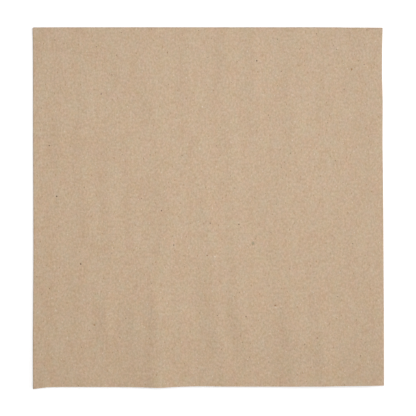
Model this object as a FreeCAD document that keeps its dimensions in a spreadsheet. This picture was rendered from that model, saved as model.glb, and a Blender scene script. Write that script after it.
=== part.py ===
import FreeCAD, Part
import math
import os
import Sketcher

# A paper napkin of plain brown tissue, folded in four and lying flat.
# The open sheet is about 248 x 254 mm. The first fold is along the left edge (-X) and makes a pair of
# leaves. The second fold is along the back edge (+Y) and lays that pair over itself, so four leaves lie
# on each other. The right (+X) and front (-Y) edges are the cut edges, where all four leaves end.
# The origin is under the middle of the napkin, on the surface that it lies on. +Z is up.

# The driving sizes in millimetres: name, value and what it is.
SIZES = [
    ("folded_width", 124.1, "left fold to the furthest point of the right cut edge"),
    ("folded_depth", 127.7, "back fold to the tip of the front left corner"),
    ("sheet_thickness", 0.20, "one leaf: two plies of tissue, embossed together"),
    ("first_fold_gap", 0.16, "clear space between the two leaves of a pair"),
    ("second_fold_gap", 0.36, "clear space between the two pairs, at the back fold"),
    ("front_edge_gap", 0.14, "clear space between the two pairs, at the front end of the sheet"),
    ("right_edge_setback", 0.60, "how much narrower the napkin is at the back than at the front"),
    ("front_edge_setback", 0.60, "how much further back the front edge ends on the right than on the left"),
    ("corner_tip", 0.60, "how far the front left corner stands out past the front cut edge"),
    ("corner_run", 6.00, "length of the front edge over which that corner stands out"),
    ("cut_margin", 3.00, "paper past the cut edges, which the cut takes off"),
]


def whole(name):
    return [(1, name)]


def half(name):
    return [(0.5, name)]


def minus(length):
    return [(-factor, name) for factor, name in length]


# Lengths worked out from the sizes: each lists the sizes to add up and how much of each.
HALF_WIDTH = half("folded_width")
HALF_DEPTH = half("folded_depth")
MARGIN = whole("cut_margin")
INNER_TURN = half("first_fold_gap")
OUTER_TURN = INNER_TURN + whole("sheet_thickness")
PAIR_HEIGHT = OUTER_TURN + OUTER_TURN
BACK_TURN = PAIR_HEIGHT + half("second_fold_gap")
FRONT_HEIGHT = PAIR_HEIGHT + PAIR_HEIGHT + whole("front_edge_gap")

START, END, CENTRE = 1, 2, 3  # the points of a sketch's line or arc
ORIGIN = X_AXIS = -1  # both belong to this element of a sketch


def number(sheet, length):
    return sum(factor * getattr(sheet, name) for factor, name in length)


def formula(length):
    return " + ".join(f"{factor} * sizes.{name}" for factor, name in length)


def make_sheet(doc):
    sheet = doc.addObject("Spreadsheet::Sheet", "sizes")
    for row, (name, value, meaning) in enumerate(SIZES, start=1):
        sheet.set(f"A{row}", name)
        sheet.set(f"B{row}", str(value))
        sheet.set(f"C{row}", meaning)
        sheet.setAlias(f"B{row}", name)
    doc.recompute()
    return sheet


def new_sketch(body, name, plane):
    sketch = body.newObject("Sketcher::SketchObject", name)
    origin_plane = next(item for item in body.Origin.OriginFeatures if item.Role == plane)
    sketch.AttachmentSupport = [(origin_plane, "")]
    sketch.MapMode = "FlatFace"
    return sketch


def add_line(sketch, start, end):
    return sketch.addGeometry(Part.LineSegment(FreeCAD.Vector(*start), FreeCAD.Vector(*end)))


def add_arc(sketch, centre, radius, start_angle, end_angle):
    # Anticlockwise, angles in degrees.
    circle = Part.Circle(FreeCAD.Vector(*centre), FreeCAD.Vector(0, 0, 1), radius)
    angles = math.radians(start_angle), math.radians(end_angle)
    return sketch.addGeometry(Part.ArcOfCircle(circle, *angles))


def constrain(sketch, kind, *where):
    return sketch.addConstraint(Sketcher.Constraint(kind, *where))


def dimension(sketch, sheet, name, length, kind, *where):
    # A named dimension that follows the sheet.
    index = constrain(sketch, kind, *where, number(sheet, length))
    sketch.renameConstraint(index, name)
    sketch.setExpression(f"Constraints.{name}", formula(length))


def draw_pair_section(body, sheet):
    # The first fold, seen from the front: a leaf below, a leaf above and the round turn that joins them.
    # It stands at the front end of the fold path.
    sketch = new_sketch(body, "pair_section", "XZ_Plane")
    sketch.setExpression("AttachmentOffset.Base.z", formula(HALF_DEPTH + MARGIN))
    inner = number(sheet, INNER_TURN)
    outer = number(sheet, OUTER_TURN)
    turn_x = outer - number(sheet, HALF_WIDTH)
    end_x = number(sheet, HALF_WIDTH + MARGIN)

    lower_outside = add_line(sketch, (end_x, 0), (turn_x, 0))
    outer_turn = add_arc(sketch, (turn_x, outer), outer, 90, 270)
    upper_outside = add_line(sketch, (turn_x, 2 * outer), (end_x, 2 * outer))
    upper_end = add_line(sketch, (end_x, 2 * outer), (end_x, outer + inner))
    upper_inside = add_line(sketch, (end_x, outer + inner), (turn_x, outer + inner))
    inner_turn = add_arc(sketch, (turn_x, outer), inner, 90, 270)
    lower_inside = add_line(sketch, (turn_x, outer - inner), (end_x, outer - inner))
    lower_end = add_line(sketch, (end_x, outer - inner), (end_x, 0))

    constrain(sketch, "Tangent", lower_outside, END, outer_turn, END)
    constrain(sketch, "Tangent", outer_turn, START, upper_outside, START)
    constrain(sketch, "Coincident", upper_outside, END, upper_end, START)
    constrain(sketch, "Coincident", upper_end, END, upper_inside, START)
    constrain(sketch, "Tangent", upper_inside, END, inner_turn, START)
    constrain(sketch, "Tangent", inner_turn, END, lower_inside, START)
    constrain(sketch, "Coincident", lower_inside, END, lower_end, START)
    constrain(sketch, "Coincident", lower_end, END, lower_outside, START)
    constrain(sketch, "Coincident", outer_turn, CENTRE, inner_turn, CENTRE)
    for side in (lower_outside, upper_outside, upper_inside, lower_inside):
        constrain(sketch, "Horizontal", side)
    for side in (upper_end, lower_end):
        constrain(sketch, "Vertical", side)
    constrain(sketch, "Vertical", lower_outside, START, upper_outside, END)
    constrain(sketch, "PointOnObject", lower_outside, START, X_AXIS)

    dimension(sketch, sheet, "inner_turn", INNER_TURN, "Radius", inner_turn)
    dimension(sketch, sheet, "outer_turn", OUTER_TURN, "Radius", outer_turn)
    dimension(sketch, sheet, "turn_to_middle", HALF_WIDTH + minus(OUTER_TURN),
              "DistanceX", outer_turn, CENTRE, ORIGIN, START)
    dimension(sketch, sheet, "middle_to_end", HALF_WIDTH + MARGIN,
              "DistanceX", ORIGIN, START, lower_outside, START)
    return sketch


def draw_fold_path(body, sheet):
    # The second fold, seen from the right: the pair runs back along the table, turns over, and comes
    # forward again on top of itself, sinking a little because the front edges lie closer together.
    sketch = new_sketch(body, "fold_path", "YZ_Plane")
    radius = number(sheet, BACK_TURN)
    turn_y = number(sheet, HALF_DEPTH) - radius
    front_y = -number(sheet, HALF_DEPTH + MARGIN)

    lower_run = add_line(sketch, (front_y, 0), (turn_y, 0))
    turn = add_arc(sketch, (turn_y, radius), radius, -90, 90)
    upper_run = add_line(sketch, (turn_y, 2 * radius), (front_y, number(sheet, FRONT_HEIGHT)))

    constrain(sketch, "Tangent", lower_run, END, turn, START)
    constrain(sketch, "Tangent", turn, END, upper_run, START)
    constrain(sketch, "Horizontal", lower_run)
    constrain(sketch, "Vertical", lower_run, START, upper_run, END)
    constrain(sketch, "PointOnObject", lower_run, START, X_AXIS)

    dimension(sketch, sheet, "turn_radius", BACK_TURN, "Radius", turn)
    dimension(sketch, sheet, "middle_to_turn", HALF_DEPTH + minus(BACK_TURN),
              "DistanceX", ORIGIN, START, turn, CENTRE)
    dimension(sketch, sheet, "front_to_middle", HALF_DEPTH + MARGIN,
              "DistanceX", lower_run, START, ORIGIN, START)
    dimension(sketch, sheet, "front_height", FRONT_HEIGHT,
              "DistanceY", ORIGIN, START, upper_run, END)
    return sketch


def draw_offcut(body, sheet):
    # What the cut takes off, seen from above: an L round the right and front edges. Its inner side is the
    # napkin's own outline there. Neither edge is quite square, and the front left corner stands out.
    sketch = new_sketch(body, "offcut", "XY_Plane")
    past_width = HALF_WIDTH + MARGIN + MARGIN
    past_depth = HALF_DEPTH + MARGIN + MARGIN
    back_width = HALF_WIDTH + minus(whole("right_edge_setback"))
    left_front = HALF_DEPTH + minus(whole("corner_tip"))
    right_front = left_front + minus(whole("front_edge_setback"))
    tip_end = HALF_WIDTH + minus(whole("corner_run"))
    # Each corner: name, which way its two lengths go from the middle, and those lengths.
    corners = [
        ("past_back_left", (1, 1), back_width, past_depth),
        ("back_right", (1, 1), back_width, HALF_DEPTH),
        ("front_right", (1, -1), HALF_WIDTH, right_front),
        ("tip_end", (-1, -1), tip_end, left_front),
        ("tip", (-1, -1), HALF_WIDTH, HALF_DEPTH),
        ("past_left_back", (-1, -1), past_width, HALF_DEPTH),
        ("past_left_front", (-1, -1), past_width, past_depth),
        ("past_front_right", (1, -1), past_width, past_depth),
        ("past_back_right", (1, 1), past_width, past_depth),
    ]
    points = [(way[0] * number(sheet, across), way[1] * number(sheet, along))
              for name, way, across, along in corners]
    sides = [add_line(sketch, point, points[(index + 1) % len(points)])
             for index, point in enumerate(points)]
    for side, (name, way, across, along) in zip(sides, corners):
        previous = sides[sides.index(side) - 1]
        constrain(sketch, "Coincident", previous, END, side, START)
        for axis, sign, length in zip("XY", way, (across, along)):
            ends = (ORIGIN, START, side, START) if sign > 0 else (side, START, ORIGIN, START)
            dimension(sketch, sheet, f"{name}_{axis.lower()}", length, f"Distance{axis}", *ends)
    return sketch


def make_napkin(doc, sheet):
    body = doc.addObject("PartDesign::Body", "napkin")
    body.Label = "napkin"
    section = draw_pair_section(body, sheet)
    path = draw_fold_path(body, sheet)
    doc.recompute()

    # The pair of leaves, folded over itself.
    folded = body.newObject("PartDesign::AdditivePipe", "folded_pair")
    folded.Profile = section
    folded.Spine = path
    doc.recompute()
    uncut_volume = folded.Shape.Volume

    # The right and front edges, cut through all four leaves.
    cut = body.newObject("PartDesign::Pocket", "cut_edges")
    cut.Profile = draw_offcut(body, sheet)
    cut.Type = "ThroughAll"
    cut.Midplane = True
    doc.recompute()
    if not cut.Shape.Volume < uncut_volume:
        raise RuntimeError("the cut took nothing off the sheet")
    return body


def check(doc, bodies):
    for item in doc.Objects:
        if any(word in item.State for word in ("Invalid", "Error")):
            raise RuntimeError(f"{item.Name} failed: {item.State}")
    for body in bodies:
        if body.Shape.isNull() or not body.Shape.isValid() or len(body.Shape.Solids) != 1:
            raise RuntimeError(f"{body.Label} isn't one valid solid")


doc = FreeCAD.newDocument("paper_napkin")
sizes = make_sheet(doc)
napkin = make_napkin(doc, sizes)
check(doc, [napkin])

os.makedirs("parts", exist_ok=True)
napkin.Shape.exportStep(f"parts/{napkin.Label}.step")
box = napkin.Shape.optimalBoundingBox(False, False)
print(f"napkin: {box.XLength:.2f} x {box.YLength:.2f} x {box.ZLength:.2f} mm,",
      f"{napkin.Shape.Volume:.0f} mm3, {len(napkin.Shape.Faces)} faces")
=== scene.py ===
# A paper napkin of plain brown tissue, folded in four and lying flat, seen from straight above.
import math
from functools import lru_cache

import bmesh
import bpy
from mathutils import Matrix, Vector, noise


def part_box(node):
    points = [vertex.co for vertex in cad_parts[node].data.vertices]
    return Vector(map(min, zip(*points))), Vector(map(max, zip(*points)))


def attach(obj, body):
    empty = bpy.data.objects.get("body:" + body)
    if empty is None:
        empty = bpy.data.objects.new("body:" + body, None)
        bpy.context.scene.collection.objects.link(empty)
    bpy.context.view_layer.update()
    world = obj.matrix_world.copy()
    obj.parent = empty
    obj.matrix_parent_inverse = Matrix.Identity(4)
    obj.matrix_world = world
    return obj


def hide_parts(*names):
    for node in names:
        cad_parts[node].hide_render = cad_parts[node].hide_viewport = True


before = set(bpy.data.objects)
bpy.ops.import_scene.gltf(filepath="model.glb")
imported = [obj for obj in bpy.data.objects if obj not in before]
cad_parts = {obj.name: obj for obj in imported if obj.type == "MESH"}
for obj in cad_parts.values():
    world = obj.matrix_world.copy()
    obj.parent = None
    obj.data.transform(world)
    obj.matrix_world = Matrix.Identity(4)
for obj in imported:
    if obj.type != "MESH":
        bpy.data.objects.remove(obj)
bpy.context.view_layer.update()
mm = 0.001  # a length with this factor is in metres, as Blender wants it


def linearColour(hexText):
    # sRGB hex, as read off a colour picker, to the linear values that the nodes want
    channels = [int(hexText[i:i + 2], 16) / 255 for i in (1, 3, 5)]
    return [c / 12.92 if c <= 0.04045 else ((c + 0.055) / 1.055) ** 2.4 for c in channels] + [1.0]


def addNode(tree, kind, settings=None, inputs=None):
    made = tree.nodes.new(kind)
    for name, value in (settings or {}).items():
        setattr(made, name, value)
    for socket, value in (inputs or {}).items():
        if isinstance(value, bpy.types.NodeSocket):
            tree.links.new(value, made.inputs[socket])
        else:
            made.inputs[socket].default_value = value
    return made


def newMaterial(name):
    material = bpy.data.materials.new(name)
    material.use_nodes = True
    material.node_tree.nodes.clear()
    return material, material.node_tree


def smoothCurve(points, where):
    # height of a smooth curve through a few points (place, height), held level past its ends
    if where <= points[0][0]:
        return points[0][1]
    for i in range(len(points) - 1):
        (x0, y0), (x1, y1) = points[i], points[i + 1]
        if where <= x1:
            before = points[max(i - 1, 0)]
            after = points[min(i + 2, len(points) - 1)]
            slope0 = (y1 - before[1]) / (x1 - before[0]) * (x1 - x0)
            slope1 = (after[1] - y0) / (after[0] - x0) * (x1 - x0)
            u = (where - x0) / (x1 - x0)
            return ((2 * u**3 - 3 * u**2 + 1) * y0 + (u**3 - 2 * u**2 + u) * slope0
                    + (3 * u**2 - 2 * u**3) * y1 + (u**3 - u**2) * slope1)
    return points[-1][1]


def easeIn(x, start, end):
    u = min(max((x - start) / (end - start), 0), 1)
    return u * u * (3 - 2 * u)


def randomWave(x, y, size, seed):
    # between -1 and 1, in waves about this long in x and in y
    return noise.noise(Vector((x / size[0], y / size[1], seed)))


# The camera, straight above, with the back fold at the top of the picture

cameraSettings = {
    "lens": 135,
    "sensor": 36,
    "clipStart": 0.01,
    "frameWidth": 146.75 * mm,  # what the picture is wide, at the height of the top leaf
    "aim": (-0.10 * mm, -0.03 * mm),
}


def makeCamera(s, topHeight):
    data = bpy.data.cameras.new("camera")
    data.lens = s["lens"]
    data.sensor_width = s["sensor"]
    data.clip_start = s["clipStart"]
    camera = bpy.data.objects.new("camera", data)
    camera.location = (*s["aim"], topHeight + s["frameWidth"] * s["lens"] / s["sensor"])
    bpy.context.collection.objects.link(camera)
    bpy.context.scene.camera = camera


napkinLow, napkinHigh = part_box("napkin")
makeCamera(cameraSettings, napkinHigh.z)
print("camera placed")


# The napkin: a flat sheet, folded along its left edge and then along its back edge

napkinSettings = {
    "paper": 0.20 * mm,  # one leaf: two plies of tissue, embossed together
    "firstGap": 0.16 * mm,  # left open between the two leaves of a pair
    "leafSteps": (104, 105),  # cuts across and along a leaf
    "foldSteps": (8, 8),  # and round each fold
    "beyondFold": 0.12 * mm,  # one more cut, this far from the fold, keeps its rounding off the leaf
    # Where the sheet lies in the map for baking, across and along: its start, its fold and its end, as
    # shares of the map. The top leaf, which shows most, has the largest part.
    "outsideMap": ((0.01, 0.70, 0.85), (0.01, 0.30, 0.99)),
    "insideMap": ((0.99, 0.93, 0.87), (0.01, 0.50, 0.99)),
    "rimInMap": 0.005,  # how far the cut edges reach out of their part

    # From here on the lengths are in plain millimetres.
    # Where the real edges run: a place along the edge, and how far the edge lies there to the right of
    # the solid's, for the left and the right one, or behind it, for the front and the back one.
    "edges": {
        "left": [(-64, 0.20), (-58, 0.16), (-45, 0.15), (-18, 0.33), (0, 0.30), (20, 0.22), (46, 0.20),
                 (58, 0.14), (64, 0.0)],
        "right": [(-64, -0.22), (-36, -0.23), (-26, -0.28), (-14, -0.33), (2, -0.42), (12, -0.50),
                  (22, -0.60), (30, -0.56), (36, -0.52), (42, -0.60), (46, -0.72), (50, -0.74),
                  (58, -0.66), (64, -0.50)],
        "front": [(-62, -0.06), (-60, 0.18), (-56, 0.60), (-40, 0.67), (-24, 0.59), (-17, 0.44),
                  (-12, 0.73), (-3, 0.95), (8, 0.87), (38, 0.92), (50, 1.08), (58, 1.20), (62, 1.30)],
        "back": [(-62, -0.06), (-50, -0.03), (38, -0.03), (46, -0.05), (50, -0.10), (62, -0.16)],
    },
    # Long soft ripples that run from the open front edge towards the back fold. Each has its crest's
    # place across and its height at the stations, which lie one behind the other, and how far it
    # spreads to its left and right.
    "stations": (-52, -38, -26, -12, 10, 47),
    "ripples": [
        {"across": (-57, -53, -53, -52, -52.5, -52), "height": (0, 0.03, 0.02, 0.02, 0.09, 0.07),
         "spread": (2.5, 2.5)},
        {"across": (-44.6, -44.6, -44, -41.5, -44.6, -43.2), "height": (0, 0.04, 0, 0.07, 0.09, 0.08),
         "spread": (2.2, 2.2)},
        {"across": (-36, -36.4, -36, -35, -35.3, -32.5), "height": (0.06, 0.20, 0.02, 0.12, 0.05, 0.05),
         "spread": (2, 2.6)},
        {"across": (-25, -25.8, -26, -26, -26.5, -30), "height": (0.13, 0.22, 0, 0.09, 0.05, 0.07),
         "spread": (2.4, 2.4)},
        {"across": (-19, -18.6, -20, -16, -17, -23), "height": (0.32, 0.27, 0.16, 0.10, 0.10, 0.10),
         "spread": (4, 9)},
        {"across": (-19, -18.4, -20, -15.5, -16, -22), "height": (0.08, 0.24, 0.05, 0.12, 0.06, 0.08),
         "spread": (1.8, 4)},
        {"across": (-10, -9.6, -10, -10, -6, -8), "height": (0, 0.15, 0.03, 0, 0.04, 0.12),
         "spread": (2.6, 2.6)},
        {"across": (5, 1.7, 0.5, 0.3, -2.4, -5), "height": (0.17, 0.28, 0.05, 0.16, 0.13, 0.03),
         "spread": (3, 3)},
        {"across": (12, 10.3, 10, 9, 8.6, 6), "height": (0.06, 0.23, 0.06, 0.15, 0.14, 0.12),
         "spread": (2.2, 4)},
        {"across": (14.5, 17.5, 16, 17, 18, 16.5), "height": (0.07, 0.17, 0.10, 0, 0.06, 0.15),
         "spread": (3, 3)},
        {"across": (30.2, 27.8, 25, 24.5, 28.5, 30), "height": (0.15, 0.27, 0.14, 0.08, 0.13, 0.16),
         "spread": (2.8, 8)},
        {"across": (40.6, 39.6, 40, 46, 47, 43), "height": (0.27, 0.18, 0, 0.05, 0.06, 0.03),
         "spread": (2.4, 3)},
        {"across": (53, 53.6, 56, 52.5, 59, 55), "height": (0.02, 0.03, 0.06, 0.06, 0.05, 0.04),
         "spread": (2.5, 2.5)},
    ],
    "unevenness": 0.7,  # share by which a ripple's height varies along its length
    "unevenWave": {"size": (1, 8), "seed": 1.3},
    "rippleSeed": 7.7,  # sets each ripple's unevenness apart from the one before
    "cockle": 0.04,  # small random waves on top, wide and narrow ones
    "wideCockle": {"size": (6, 18), "seed": 3.1},
    "narrowCockle": {"size": (3, 8), "seed": 8.7},
    "narrowShare": 0.6,
    "frontDrop": 0.22,  # the pile is this much lower at the open front edge
    "foldSwell": 0.10,  # and this much higher along a fold, over foldReach
    "foldReach": 5.0,
    "rimDrop": 0.08,  # the right cut edge turns down a little, over rimReach
    "rimReach": 0.6,
    # how far the leaves stand apart: the lower pair's two, the two pairs, the upper pair's two
    "openCorner": (0.25, 0.55, 0.32),
    "openWave": (0.18, 0.35, 0.30),
    "openWaveSize": (26, 26),
    "openWaveMiddle": 0.5,
    "leafSeed": 5.3,  # sets each leaf's waves apart from those of the one below
    # Between these distances from a fold they go from touching to fully apart: a pair's two leaves from
    # the left and from the back fold, and the two pairs from the back fold.
    "leavesPart": ((8, 110), (8, 60)),
    "pairsPart": (8, 110),
}


@lru_cache(maxsize=None)
def ripplesAt(y):
    s = napkinSettings
    found = []
    for number, ripple in enumerate(s["ripples"]):
        crest = smoothCurve(list(zip(s["stations"], ripple["across"])), y)
        height = smoothCurve(list(zip(s["stations"], ripple["height"])), y)
        uneven = 1 + s["unevenness"] * randomWave(number * s["rippleSeed"], y, **s["unevenWave"])
        found.append((crest, height * uneven, ripple["spread"]))
    return found


@lru_cache(maxsize=None)
def edgeAt(side, where):
    return smoothCurve(napkinSettings["edges"][side], where)


def rippleHeight(x, y):
    s = napkinSettings
    total = 0
    for crest, height, spread in ripplesAt(y):
        away = (x - crest) / spread[0 if x < crest else 1]
        total += height * math.exp(-away * away)
    cockle = randomWave(x, y, **s["wideCockle"]) + s["narrowShare"] * randomWave(x, y, **s["narrowCockle"])
    return total + s["cockle"] * cockle


def outOfLine(x, y, sizes):
    # how far the real edges, which aren't quite straight, carry the paper at this place, all in millimetres
    across = (x - sizes["left"] / mm) / (sizes["right"] - sizes["left"]) * mm
    along = (y - sizes["front"] / mm) / (sizes["back"] - sizes["front"]) * mm
    return (edgeAt("left", y) * (1 - across) + edgeAt("right", y) * across,
            edgeAt("front", x) * (1 - along) + edgeAt("back", x) * along)


def foldSheet(flatX, flatY, off, sizes):
    # Carries a point of the flat sheet to its place in the folded napkin. off is its height above the
    # sheet's middle, towards the face that ends up outside.
    firstRadius, secondRadius, pairHalf = sizes["firstRadius"], sizes["secondRadius"], sizes["pairHalf"]
    firstArc, secondArc = math.pi * firstRadius / 2, math.pi * secondRadius / 2
    if abs(flatX) < firstArc:
        turn = flatX / firstRadius
        x = sizes["left"] + pairHalf - (firstRadius + off) * math.cos(turn)
        inPair = (firstRadius + off) * math.sin(turn)
    else:
        x = sizes["left"] + pairHalf + abs(flatX) - firstArc
        inPair = math.copysign(firstRadius + off, flatX)
    radius = secondRadius - inPair
    middle = secondRadius + pairHalf
    if abs(flatY) < secondArc:
        turn = flatY / secondRadius
        y = sizes["back"] - middle + radius * math.cos(turn)
        z = middle + radius * math.sin(turn)
    else:
        y = sizes["back"] - middle - abs(flatY) + secondArc
        z = middle + math.copysign(radius, flatY)
    return Vector((x, y, z))


def settle(place, flatX, flatY, sizes):
    # The small unevenness of the real one: edges that aren't quite straight, a pile that is thicker at
    # its folds, leaves that part a little towards the open corner, and the ripples.
    s = napkinSettings
    x, y, z = (round(c / mm, 6) for c in place)  # rounded, so that points in line share what is worked out
    left, right = sizes["left"] / mm, sizes["right"] / mm
    front, back = sizes["front"] / mm, sizes["back"] / mm
    across, along = (x - left) / (right - left), (y - front) / (back - front)
    fromLeft, fromBack = x - left, back - y
    swell = math.exp(-fromLeft / s["foldReach"]) + math.exp(-fromBack / s["foldReach"])
    relief = -s["frontDrop"] * (1 - along) - s["foldSwell"] * (1 - min(swell, 1)) + rippleHeight(x, y)
    relief -= s["rimDrop"] * math.exp((x - right) / s["rimReach"])
    newZ = z * (1 + relief / (sizes["pile"] / mm))
    # the leaves are numbered from the table up, and each lifts those above it
    leaf = 1 + (flatX > 0) if flatY < 0 else 4 - (flatX > 0)
    leavesApart = easeIn(fromLeft, *s["leavesPart"][0]) * easeIn(fromBack, *s["leavesPart"][1])
    pairsApart = easeIn(fromBack, *s["pairsPart"])
    for number in range(2, leaf + 1):
        wave = s["openWaveMiddle"] + randomWave(x, y, s["openWaveSize"], number * s["leafSeed"])
        apart = pairsApart if number == 3 else leavesApart
        newZ += apart * (s["openCorner"][number - 2] * across * (1 - along)
                         + s["openWave"][number - 2] * max(wave, 0))
    moved = outOfLine(x, y, sizes)
    return Vector((x + moved[0], y + moved[1], newZ)) * mm


def onFlatSheet(x, y, sizes):
    # where a point of the top leaf, in millimetres on the folded napkin, lies on the open sheet
    moved = outOfLine(x, y, sizes)
    fromFold = x - moved[0] - (sizes["left"] + sizes["pairHalf"]) / mm
    fromBack = (sizes["back"] - sizes["pile"] / 2) / mm - y + moved[1]
    return -(fromFold + sizes["arcs"][0] / 2 / mm), fromBack + sizes["arcs"][1] / 2 / mm


def foldedSizes(s):
    sizes = {"left": napkinLow.x, "right": napkinHigh.x, "front": napkinLow.y, "back": napkinHigh.y}
    sizes["pile"] = napkinHigh.z - napkinLow.z
    sizes["firstRadius"] = (s["paper"] + s["firstGap"]) / 2
    sizes["pairHalf"] = sizes["firstRadius"] + s["paper"] / 2
    sizes["secondRadius"] = sizes["pile"] / 2 - sizes["pairHalf"]
    sizes["arcs"] = math.pi * sizes["firstRadius"], math.pi * sizes["secondRadius"]
    leafWidth = sizes["right"] - sizes["left"] - sizes["pairHalf"]
    leafDepth = sizes["back"] - sizes["front"] - sizes["pile"] / 2
    sizes["flat"] = 2 * leafWidth + sizes["arcs"][0], 2 * leafDepth + sizes["arcs"][1]
    return sizes


def stationsAlong(length, arc, leafSteps, foldSteps, beyondFold):
    # places of the cuts along one side of the flat sheet: close together where it will be folded, and
    # one just beyond, from which on the leaf is level
    leaf = (length - arc) / 2
    first = [-length / 2 + leaf * i / leafSteps for i in range(leafSteps)] + [-arc / 2 - beyondFold]
    fold = [-arc / 2 + arc * i / foldSteps for i in range(foldSteps + 1)]
    return first + fold + [-where for where in reversed(first)]


def deeperRoundFold(where, arc, outsideArc):
    # Round a fold the outside is longer than the sheet's middle. The patterns are cut deeper there by what
    # keeps their grain from being drawn out.
    turned = min(max(0.5 - where / arc, 0), 1)
    return math.sqrt(outsideArc**2 - arc**2) * turned


def mapPlace(share, start, fold, end):
    # share runs from 0 to 1 over the sheet, with the fold in the middle
    if share < 0.5:
        return start + (fold - start) * share * 2
    return fold + (end - fold) * (share * 2 - 1)


def sideOf(face):
    # of the flat sheet: 1 for the side that ends up outside, -1 for the inside, 0 for a cut edge
    return round(face.normal.z)


def addMaps(bm, sizes, s):
    # a place on the flat sheet for the patterns, and a map without overlaps for baking
    place = bm.verts.layers.float_vector.new("flatPlace")
    for vert in bm.verts:
        x, y, off = vert.co
        deeper = (deeperRoundFold(-x, sizes["arcs"][0], math.pi * sizes["pairHalf"])
                  + deeperRoundFold(y, sizes["arcs"][1], math.pi * sizes["pile"] / 2))
        vert[place] = x, y, off + deeper
    layer = bm.loops.layers.uv.new("OFBake")
    width, length = sizes["flat"]
    for face in bm.faces:
        side = sideOf(face)
        across, along = s["insideMap"] if side < 0 else s["outsideMap"]
        for loop in face.loops:
            x, y, z = loop.vert.co
            uv = [mapPlace(x / width + 0.5, *across), mapPlace(y / length + 0.5, *along)]
            if side == 0 and z < 0:
                uv[0] += s["rimInMap"] * face.normal.x
                uv[1] += s["rimInMap"] * face.normal.y
            loop[layer].uv = uv


def putInOrder(bm):
    # the cut edges' faces are made in another order each run, so all faces and edges get a fixed one
    bm.verts.index_update()
    for parts in (bm.edges, bm.faces):
        ordered = sorted(parts, key=lambda part: sorted(vert.index for vert in part.verts))
        for number, part in enumerate(ordered):
            part.index = number
        parts.sort()


def makeNapkin(s):
    sizes = foldedSizes(s)
    sides = zip(sizes["flat"], sizes["arcs"], s["leafSteps"], s["foldSteps"])
    columns, rows = [stationsAlong(*side, s["beyondFold"]) for side in sides]
    bm = bmesh.new()
    bmesh.ops.create_grid(bm, x_segments=len(columns) - 1, y_segments=len(rows) - 1, size=0.5)
    for vert in bm.verts:
        column = round((vert.co.x + 0.5) * (len(columns) - 1))
        row = round((vert.co.y + 0.5) * (len(rows) - 1))
        vert.co = columns[column], rows[row], -s["paper"] / 2
    raised = bmesh.ops.extrude_face_region(bm, geom=bm.faces[:])["geom"]
    raisedVerts = [g for g in raised if isinstance(g, bmesh.types.BMVert)]
    bmesh.ops.translate(bm, verts=raisedVerts, vec=(0, 0, s["paper"]))
    bm.normal_update()
    putInOrder(bm)
    addMaps(bm, sizes, s)
    for face in bm.faces:
        face.smooth = sideOf(face) != 0
    for edge in bm.edges:
        edge.smooth = len({face.smooth for face in edge.link_faces}) == 1
    for vert in bm.verts:
        flatX, flatY, off = vert.co
        vert.co = settle(foldSheet(flatX, flatY, off, sizes), flatX, flatY, sizes)
    lowest = min(vert.co.z for vert in bm.verts)
    bmesh.ops.translate(bm, verts=bm.verts, vec=(0, 0, -lowest))
    mesh = bpy.data.meshes.new("foldedNapkin")
    bm.to_mesh(mesh)
    bm.free()
    piece = bpy.data.objects.new("foldedNapkin", mesh)
    bpy.context.collection.objects.link(piece)
    return piece, sizes


napkin, napkinSizes = makeNapkin(napkinSettings)
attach(napkin, "root")
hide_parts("napkin")
print("napkin folded from", [round(side / mm, 1) for side in napkinSizes["flat"]], "mm,",
      len(napkin.data.polygons) * 2, "triangles")


# Unbleached tissue, wet-laid and creped: matt tan, with a fine grain, flocks of brown and of grey fibres,
# faint clouds where the pulp lay thicker, pinkish, olive and yellower blotches, and specks of bark

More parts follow.
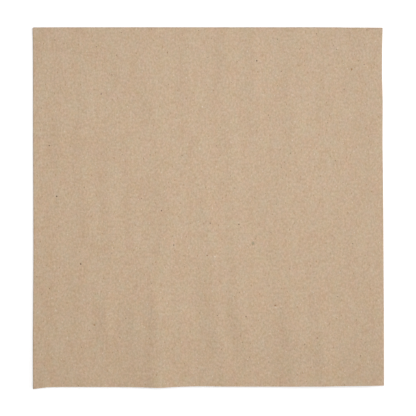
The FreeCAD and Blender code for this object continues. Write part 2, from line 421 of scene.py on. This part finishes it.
tissueSettings = {
    "pinkish": "#C8AB91",
    "olive": "#C2AD91",
    "brownFibre": "#B98E6F",
    "greyFibre": "#C8C2AA",
    "bark": "#5E432E",
    "fleck": "#A88864",
    "paleFibre": "#DDCEBB",
    "roughness": 0.95,
    "specular": 0.2,
    "bump": 0.5,
    "bumpHeight": 0.06 * mm,
    # Soft random patterns about a middle value, with the size of their grain in millimetres. The depth is
    # what each adds to red, green and blue where it is above its middle: the darker places are browner.
    "middle": 0.5,
    "patterns": {
        "grain": {"size": 0.66, "stretch": (1, 0.75, 1), "detail": 1.0, "roughness": 0.9, "seed": 0,
                  "depth": (0.50, 0.566, 0.655)},  # a few fibres' width, drawn coarser to show
        "flock": {"size": 3.0, "stretch": (1, 0.7, 1), "detail": 2.0, "roughness": 1.0, "seed": 40},
        "cloud": {"size": 6.0, "stretch": (1, 0.35, 1), "detail": 2.0, "roughness": 0.6, "seed": 80,
                  "depth": (0.052, 0.138, 0.184)},  # longer along the web
        "blotch": {"size": 5.2, "stretch": (1, 0.8, 1), "detail": 3.0, "roughness": 0.9, "seed": 120},
        "yellow": {"size": 4.2, "stretch": (1, 0.8, 1), "detail": 3.0, "roughness": 0.9, "seed": 160,
                   "depth": (0, 0, 0.30)},
    },
    "blotchRange": (0.3, 0.7),  # the pattern's values that are quite pinkish and quite olive
    # Where fibres gather: the pattern's value that is fullest of them, and their share of the colour there
    "brownFullAt": 0.8,
    "greyFullAt": 0.2,
    "flockShare": 0.25,
    # The pulp is a little warmer towards one corner of the sheet: how fast over the flat sheet, per
    # millimetre, what it is at its middle, and the change of each channel at 1.
    "warmAlong": (0.0065, 0.011, 0),
    "warmMiddle": -0.2,
    "warmer": (0.009, 0, -0.015),
    # Random specks: the mesh of cells that they fall in and their radii, millimetres, the share of cells
    # that has one, their stretch, their turn in radians, and their colour.
    "randomSpecks": [
        {"cell": 2.3, "radii": (0.12, 0.27), "share": 0.38, "stretch": (1, 0.5, 1), "turn": 1.2,
         "colour": "fleck"},
        {"cell": 5.0, "radii": (0.10, 0.22), "share": 0.18, "stretch": (1, 0.6, 1), "turn": 0.4,
         "colour": "bark"},
        {"cell": 6.3, "radii": (0.09, 0.20), "share": 0.22, "stretch": (1, 0.45, 1), "turn": 1.9,
         "colour": "bark"},
        {"cell": 3.1, "radii": (0.12, 0.24), "share": 0.45, "stretch": (1, 0.6, 1), "turn": 2.6,
         "colour": "paleFibre"},
    ],
    # The specks that show most on the top leaf: place from the napkin's middle, half length and half
    # width in millimetres, and turn in degrees, by colour.
    "plainSpecks": {
        "#4A3424": [
            (-53.5, 4.1, 0.36, 0.28, 20), (-56.1, 22.0, 0.27, 0.22, 0), (-45.0, -19.8, 0.33, 0.26, 60),
            (-16.5, -1.0, 0.28, 0.21, 10), (0.7, -5.4, 0.26, 0.19, 120), (10.8, -5.8, 0.28, 0.20, 30),
            (17.1, 51.9, 0.31, 0.23, 80), (-39.4, 56.8, 0.22, 0.17, 0), (8.1, 44.2, 0.17, 0.12, 40),
            (-12.2, -13.1, 0.26, 0.20, 90), (45.6, -31.3, 0.21, 0.16, 0), (3.2, -37.9, 0.21, 0.16, 10),
            (13.3, -38.3, 0.31, 0.18, 70), (-41.9, -43.2, 0.16, 0.13, 0), (50.9, -12.6, 0.22, 0.17, 45),
        ],
        "#8A5F3C": [
            (-14.4, 54.8, 0.28, 0.18, 100), (-0.4, -16.8, 0.30, 0.22, 0), (38.4, -45.8, 0.28, 0.20, 30),
            (32.4, 56.3, 0.20, 0.15, 60), (23.6, -34.3, 0.46, 0.22, 5),
        ],
        "#A07B50": [(50.6, 48.9, 0.48, 0.32, 95), (-40.2, -41.3, 0.40, 0.28, 40)],
        "#7A4F5C": [(-37.8, 40.2, 0.34, 0.20, 95), (55.0, 50.6, 0.20, 0.16, 0)],
        "#A4987E": [(15.8, -12.5, 0.72, 0.55, 60)],
        "#DCCDB9": [(-2.1, 35.7, 0.36, 0.28, 70), (2.3, -17.2, 0.40, 0.27, 20), (23.8, -35.2, 0.50, 0.20, 5)],
    },
    # they fade from full to nothing between these shares of their half size
    "plainSpeckFade": (0.3, 1.3),
}


def tissueMaterial(s, sizes):
    material, tree = newMaterial("unbleachedTissue")
    place = addNode(tree, "ShaderNodeAttribute", {"attribute_name": "flatPlace"})
    inMm = addNode(tree, "ShaderNodeVectorMath", {"operation": "SCALE"},
                   {0: place.outputs["Vector"], "Scale": 1 / mm}).outputs[0]
    flatInMm = addNode(tree, "ShaderNodeVectorMath", {"operation": "MULTIPLY"},
                       {0: inMm, 1: (1, 1, 0)}).outputs[0]

    def pattern(p):
        placed = addNode(tree, "ShaderNodeMapping", None, {
            "Vector": inMm, "Location": (p["seed"], 0, 0), "Scale": p["stretch"]}).outputs[0]
        return addNode(tree, "ShaderNodeTexNoise", None, {
            "Vector": placed, "Scale": 1 / p["size"], "Detail": p["detail"],
            "Roughness": p["roughness"]}).outputs[0]

    def deepened(tone, values, depth):
        centred = addNode(tree, "ShaderNodeMath", {"operation": "SUBTRACT"},
                          {0: values, 1: s["middle"]}).outputs[0]
        return addNode(tree, "ShaderNodeVectorMath", {"operation": "MULTIPLY_ADD"},
                       {0: centred, 1: depth, 2: tone}).outputs[0]

    def painted(under, share, colour):
        # sockets 6 and 7 are the Mix node's colours, and output 2 is what they make
        return addNode(tree, "ShaderNodeMix", {"data_type": "RGBA"},
                       {"Factor": share, 6: under, 7: linearColour(colour)}).outputs[2]

    def gathered(values, fullAt):
        return addNode(tree, "ShaderNodeMapRange", None, {
            "Value": values, "From Min": s["middle"], "From Max": fullAt,
            "To Max": s["flockShare"]}).outputs[0]

    def randomSpecks(speck):
        placed = addNode(tree, "ShaderNodeMapping", None, {
            "Vector": inMm, "Rotation": (0, 0, speck["turn"]), "Scale": speck["stretch"]}).outputs[0]
        cells = addNode(tree, "ShaderNodeTexVoronoi", {"voronoi_dimensions": "2D"},
                        {"Vector": placed, "Scale": 1 / speck["cell"]})
        lot = addNode(tree, "ShaderNodeSeparateColor", None, {"Color": cells.outputs["Color"]})
        low, high = (radius / speck["cell"] for radius in speck["radii"])
        radius = addNode(tree, "ShaderNodeMapRange", None,
                         {"Value": lot.outputs[1], "To Min": low, "To Max": high}).outputs[0]
        kept = addNode(tree, "ShaderNodeMath", {"operation": "LESS_THAN"},
                       {0: lot.outputs[0], 1: speck["share"]}).outputs[0]
        spot = addNode(tree, "ShaderNodeMapRange", {"interpolation_type": "SMOOTHSTEP"}, {
            "Value": cells.outputs["Distance"], "From Min": 0.0, "From Max": radius,
            "To Min": 1.0, "To Max": 0.0}).outputs[0]
        return addNode(tree, "ShaderNodeMath", {"operation": "MULTIPLY"}, {0: spot, 1: kept}).outputs[0]

    def placedSpecks(specks):
        # the top leaf lies mirrored on the open sheet, so their turn is taken from the other side
        fullWithin, gone = s["plainSpeckFade"]
        nearest = gone
        for x, y, halfLength, halfWidth, turn in specks:
            centred = addNode(tree, "ShaderNodeMapping", {"vector_type": "TEXTURE"}, {
                "Vector": flatInMm, "Location": (*onFlatSheet(x, y, sizes), 0),
                "Rotation": (0, 0, math.radians(180 - turn)),
                "Scale": (halfLength, halfWidth, 1)}).outputs[0]
            away = addNode(tree, "ShaderNodeVectorMath", {"operation": "LENGTH"},
                           {0: centred}).outputs["Value"]
            nearest = addNode(tree, "ShaderNodeMath", {"operation": "MINIMUM"},
                              {0: away, 1: nearest}).outputs[0]
        return addNode(tree, "ShaderNodeMapRange", {"interpolation_type": "SMOOTHSTEP"}, {
            "Value": nearest, "From Min": fullWithin, "From Max": gone,
            "To Min": 1.0, "To Max": 0.0}).outputs[0]

    fibres = {name: pattern(p) for name, p in s["patterns"].items()}
    tone = (1, 1, 1)
    for name in ("grain", "cloud", "yellow"):
        tone = deepened(tone, fibres[name], s["patterns"][name]["depth"])
    quitePinkish, quiteOlive = s["blotchRange"]
    oliveShare = addNode(tree, "ShaderNodeMapRange", None, {
        "Value": fibres["blotch"], "From Min": quitePinkish, "From Max": quiteOlive}).outputs[0]
    hue = painted(linearColour(s["pinkish"]), oliveShare, s["olive"])
    warmth = addNode(tree, "ShaderNodeVectorMath", {"operation": "DOT_PRODUCT"},
                     {0: inMm, 1: s["warmAlong"]}).outputs["Value"]
    warmth = addNode(tree, "ShaderNodeMath", {"operation": "ADD"}, {0: warmth, 1: s["warmMiddle"]}).outputs[0]
    warmer = addNode(tree, "ShaderNodeVectorMath", {"operation": "MULTIPLY_ADD"},
                     {0: warmth, 1: s["warmer"], 2: (1, 1, 1)}).outputs[0]
    hue = addNode(tree, "ShaderNodeVectorMath", {"operation": "MULTIPLY"}, {0: hue, 1: warmer}).outputs[0]
    paper = addNode(tree, "ShaderNodeVectorMath", {"operation": "MULTIPLY"}, {0: hue, 1: tone}).outputs[0]
    paper = painted(paper, gathered(fibres["flock"], s["brownFullAt"]), s["brownFibre"])
    paper = painted(paper, gathered(fibres["flock"], s["greyFullAt"]), s["greyFibre"])
    for speck in s["randomSpecks"]:
        paper = painted(paper, randomSpecks(speck), s[speck["colour"]])
    for colour, specks in s["plainSpecks"].items():
        paper = painted(paper, placedSpecks(specks), colour)

    creped = addNode(tree, "ShaderNodeBump", None, {
        "Height": fibres["grain"], "Strength": s["bump"], "Distance": s["bumpHeight"]}).outputs[0]
    shader = addNode(tree, "ShaderNodeBsdfPrincipled", None, {
        "Base Color": paper, "Roughness": s["roughness"], "Specular IOR Level": s["specular"],
        "Normal": creped})
    addNode(tree, "ShaderNodeOutputMaterial", None, {"Surface": shader.outputs[0]})
    return material


napkin.data.materials.append(tissueMaterial(tissueSettings, napkinSizes))
print("tissue finished")


# A plain white table top that keeps the shadow, and soft light, all in metres

floorSettings = {
    "side": 6.0,
    "below": 0.05 * mm,  # just clear of the napkin's underside
    "colour": "#E6E6E6",
    "roughness": 0.9,
    "specular": 0.0,
    # for the camera alone, so that the table shows white, near the napkin and far from it
    "glow": {"colour": "#FFFFFF", "near": 0.50, "far": 1.0, "from": 0.09, "to": 0.6},
}
lightSettings = {
    "background": "#FFFFFF",
    "fill": 0.24,  # what the background gives as light, where 1 is what the camera sees
    "lamps": [
        {"name": "softBox", "place": (0.01, 0.03, 0.26), "size": 0.16, "share": 0.50},
        {"name": "sideBox", "place": (2.6, 0.4, 1.3), "size": 1.6, "share": 0.26},
    ],
}


def makeFloor(s):
    bm = bmesh.new()
    bmesh.ops.create_grid(bm, x_segments=1, y_segments=1, size=s["side"] / 2)
    bmesh.ops.translate(bm, verts=bm.verts, vec=(0, 0, -s["below"]))
    mesh = bpy.data.meshes.new("tableTop")
    bm.to_mesh(mesh)
    bm.free()
    floor = bpy.data.objects.new("tableTop", mesh)
    bpy.context.collection.objects.link(floor)
    material, tree = newMaterial("whiteTable")
    path = addNode(tree, "ShaderNodeLightPath")
    place = addNode(tree, "ShaderNodeTexCoord").outputs["Object"]
    away = addNode(tree, "ShaderNodeVectorMath", {"operation": "LENGTH"}, {0: place}).outputs["Value"]
    glow = addNode(tree, "ShaderNodeMapRange", None, {
        "Value": away, "From Min": s["glow"]["from"], "From Max": s["glow"]["to"],
        "To Min": s["glow"]["near"], "To Max": s["glow"]["far"]}).outputs[0]
    seen = addNode(tree, "ShaderNodeMath", {"operation": "MULTIPLY"},
                   {0: path.outputs["Is Camera Ray"], 1: glow}).outputs[0]
    shader = addNode(tree, "ShaderNodeBsdfPrincipled", None, {
        "Base Color": linearColour(s["colour"]), "Roughness": s["roughness"],
        "Specular IOR Level": s["specular"], "Emission Color": linearColour(s["glow"]["colour"]),
        "Emission Strength": seen})
    addNode(tree, "ShaderNodeOutputMaterial", None, {"Surface": shader.outputs[0]})
    mesh.materials.append(material)
    return floor


def makeLights(s):
    world = bpy.data.worlds.new("studio")
    bpy.context.scene.world = world
    world.use_nodes = True
    tree = world.node_tree
    tree.nodes.clear()
    path = addNode(tree, "ShaderNodeLightPath")
    seen = path.outputs["Is Camera Ray"]
    for other in ("Is Glossy Ray", "Is Transmission Ray"):
        seen = addNode(tree, "ShaderNodeMath", {"operation": "MAXIMUM"},
                       {0: seen, 1: path.outputs[other]}).outputs[0]
    strength = addNode(tree, "ShaderNodeMapRange", None,
                       {"Value": seen, "To Min": s["fill"], "To Max": 1.0}).outputs[0]
    shade = addNode(tree, "ShaderNodeBackground", None,
                    {"Color": linearColour(s["background"]), "Strength": strength})
    addNode(tree, "ShaderNodeOutputWorld", None, {"Surface": shade.outputs[0]})
    for lamp in s["lamps"]:
        data = bpy.data.lights.new(lamp["name"], "AREA")
        data.shape = "DISK"
        data.size = lamp["size"]
        place = Vector(lamp["place"])
        slant = place.normalized().z
        # the power at which this lamp alone would show a colour at its share of full brightness
        data.energy = lamp["share"] * math.pi**2 * (place.length_squared + lamp["size"]**2 / 4) / slant
        light = bpy.data.objects.new(lamp["name"], data)
        light.location = place
        light.visible_camera = False
        light.rotation_euler = (-place).to_track_quat("-Z", "Y").to_euler()
        bpy.context.collection.objects.link(light)


makeFloor(floorSettings)
makeLights(lightSettings)
bpy.context.scene.view_settings.view_transform = "Standard"
print("table and lights placed")
